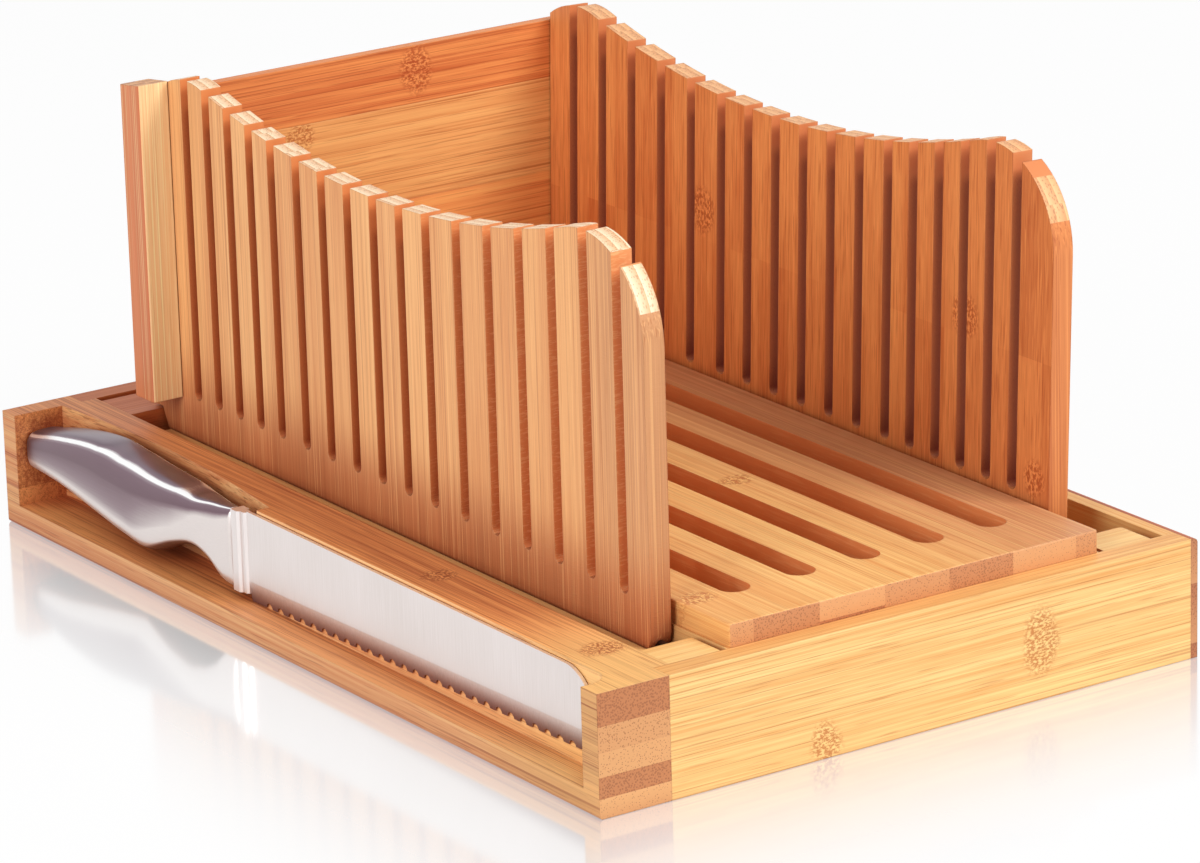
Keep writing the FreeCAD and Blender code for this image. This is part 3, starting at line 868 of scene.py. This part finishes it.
# ---- Materials on the CAD pieces ------------------------------------------------------------
guide_solid_end = 11.0               # millimetres at each end of a guide that hold no slots
guide_slot_heights = (48.0, 165.0)
board_rim_x = 2.0                    # millimetres at the board's sides and ends without slots
board_rim_y = 5.0
board_slot_heights = (39.0, 48.0)
board_slot_pitch = 24.85             # the board's strips are as wide, with one slot in each
board_strip_start = -2.1


def paint(material, *names):
    """Give CAD pieces a material."""
    for name in names:
        mesh = nodes[name].data
        mesh.materials.clear()
        mesh.materials.append(material)


def guide_wood(name, x_limits, **settings):
    """A guide's upright fibres, with pale end grain on its crests and sawn slots."""
    low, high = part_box(name)
    y_limits = (low.y / MM + guide_solid_end, high.y / MM - guide_solid_end)
    slots = tuple(zip(x_limits, y_limits, guide_slot_heights))
    return Wood("z", strip=17.0, across="y", ply=3.85, tone=0.3, lines=0.8, shaded=0.5,
                sawn=slots, mouth=12.0, tear_scale=(0.3, 0.3, 1.9),
                end_beyond=60.0, end_facing=0.35, **settings)


def paint_base():
    beam = Wood("y", beam_pale, beam_deep, strip=15.4, strip_start=-115.0,
                ply=7.2, ply_start=-0.6, tone=0.4, streaks=1.0, lines=0.9, shaded=0.9,
                flank=("x", beam_flank_pale, beam_flank_deep),
                fades=[("y", -95.0, -165.0, beam_front, 1.0)],
                knots=[(-148.0, -91.0, 5.0, 6.0), (-60.0, -93.0, 4.0, 5.0)],
                end_beyond=178.0,
                end_bands=[(-1.0, 0.15), (6.4, 0.9), (13.3, 0.3), (21.0, 0.45), (29.3, 0.95)])
    paint(bamboo("beam_bamboo", beam), "knife_beam")
    rail = Wood("x", rail_pale, rail_deep, strip=20.0, across="z", strip_start=-2.0,
                tone=0.1, streaks=1.1, lines=0.9, flank=("z", rail_top_pale, rail_top_deep),
                knots=[(52.0, 19.5, 5.5, 9.0), (-31.0, 5.5, 5.0, 5.5)])
    paint(bamboo("rail_bamboo", rail), "front_rail")
    # partly painted shade: the rear pieces are darker and redder than the front blocks
    rear = Wood("x", rear_pale, rear_deep, strip=20.0, across="z", tone=0.2, streaks=0.7,
                shaded=0.9)
    paint(bamboo("rear_bamboo", rear), "rear_rail", "rear_left_block", "rear_right_block")
    side = Wood("y", rail_pale, rail_deep, strip=20.0, ply=13.4, tone=0.3, shaded=0.8)
    paint(bamboo("side_bamboo", side), "right_rail_ply", "left_ledge",
          "left_board_runner", "right_board_runner")
    facing = Wood("y", red_pale, red_deep, strip=20.0, ply=20.0,
                  end_pale=facing_end_pale, end_deep=facing_end_deep)
    paint(bamboo("facing_bamboo", facing), "right_rail_facing")
    block = Wood("x", rail_pale, rail_deep, strip=20.0, tone=0.2)
    paint(bamboo("block_bamboo", block), "front_left_block", "front_right_block",
          "front_board_cleat", "rear_board_cleat")
    panel = Wood("y", beam_pale, beam_deep, strip=20.0)
    paint(bamboo("panel_bamboo", panel), "base_panel")


def paint_board():
    low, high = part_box("slotted_board")
    x_limits = (low.x / MM + board_rim_x, high.x / MM - board_rim_x)
    y_limits = (low.y / MM + board_rim_y, high.y / MM - board_rim_y)
    slots = tuple(zip(x_limits, y_limits, board_slot_heights))
    board = Wood("y", board_pale, board_deep, strip=board_slot_pitch,
                 strip_start=board_strip_start, ply_start=20.0, tone=0.3, streaks=0.75,
                 shaded=0.5, fades=[("x", 5.0, 70.0, board_grey, 0.8)],
                 knots=[(-146.0, -54.0, 4.0, 5.0), (-60.0, 22.0, 4.0, 5.0),
                        (10.0, -20.0, 4.0, 5.0)],
                 sawn=slots, sawn_axis="x", tear_scale=(1.5, 0.06, 1.5),
                 # painted light: the board's slot walls turn lighter towards the front
                 fresh_from=200.0, fresh_to=-400.0, end_pale=edge_pale, end_deep=edge_deep)
    paint(bamboo("board_bamboo", board), "slotted_board")


def paint_guides():
    left = guide_wood("left_guide", (-72.0, -62.0), pale=guide_pale, deep=guide_deep,
                      # painted light on the front slots' walls
                      strip_start=-9.0, fresh_from=20.0, fresh_to=-90.0,
                      # pale crest end grain, partly a painted highlight
                      end_pale=crest_pale, end_deep=crest_deep,
                      fades=[("y", -98.0, -136.0, guide_front, 0.8),
                             # painted shade: darker towards the bottom
                             ("z", 70.0, 42.0, guide_low, 0.9)])
    paint(bamboo("left_guide_bamboo", left), "left_guide")
    # The right guide's colours are partly painted shade for the half shadow on its inner face.
    right = guide_wood("right_guide", (80.0, 97.0), pale=inner_pale, deep=inner_deep,
                       strip_start=-4.0, fresh_from=-300.0, fresh_to=-400.0,
                       # painted light at the slots' mouths, and painted shade deep inside
                       sawn_open=inner_sawn_open, sawn_deep=inner_sawn_deep,
                       end_pale=inner_crest_pale, end_deep=inner_crest_deep,
                       fades=[("y", -50.0, -140.0, inner_front, 0.5)],
                       knots=[(104.0, 45.5, 6.5, 5.5), (100.0, -100.0, 6.0, 5.5),
                              (55.0, -136.8, 5.0, 4.0)])
    paint(bamboo("right_guide_bamboo", right), "right_guide")


def strip_wood(pale, deep, knots):
    """One of the backboard's three strips."""
    return Wood("x", pale, deep, strip=60.0, across="z", tone=0.1, streaks=1.0, lines=0.9,
                knots=knots)


def paint_backboard():
    stile = Wood("z", stile_pale, stile_deep, strip=5.65, strip_start=-82.3,
                 ply=6.3, ply_start=132.7, tone=0.3, fibres=0.9,
                 flank=("x", stile_flank_pale, stile_flank_deep))
    paint(bamboo("stile_bamboo", stile), "left_stile", "right_stile")
    top = strip_wood(toasted_pale, toasted_deep, [(31.0, 144.0, 5.0, 7.0)])
    paint(bamboo("back_toasted_bamboo", top), "back_top_strip")
    middle = strip_wood(strip_pale, strip_deep, [(-17.0, 127.5, 4.5, 4.0)])
    paint(bamboo("back_middle_bamboo", middle), "back_middle_strip")
    bottom = strip_wood(low_pale, low_deep, [])
    paint(bamboo("back_low_bamboo", bottom), "back_bottom_strip")


def paint_steel():
    paint(blade_steel(), "knife_blade", "knife_bolster")
    paint(pin_steel(), "left_front_pin", "left_rear_pin", "right_front_pin", "right_rear_pin")


make_camera()
make_world()
make_lamp("key", key_place, key_power, key_size)
make_lamp("fill", fill_place, fill_power, fill_size)
make_floor()
paint_base()
paint_board()
paint_guides()
paint_backboard()
paint_steel()
make_handle(handle_steel())

bpy.context.scene.view_settings.view_transform = "Standard"


def plain(box):
    return [list(corner) for corner in box]
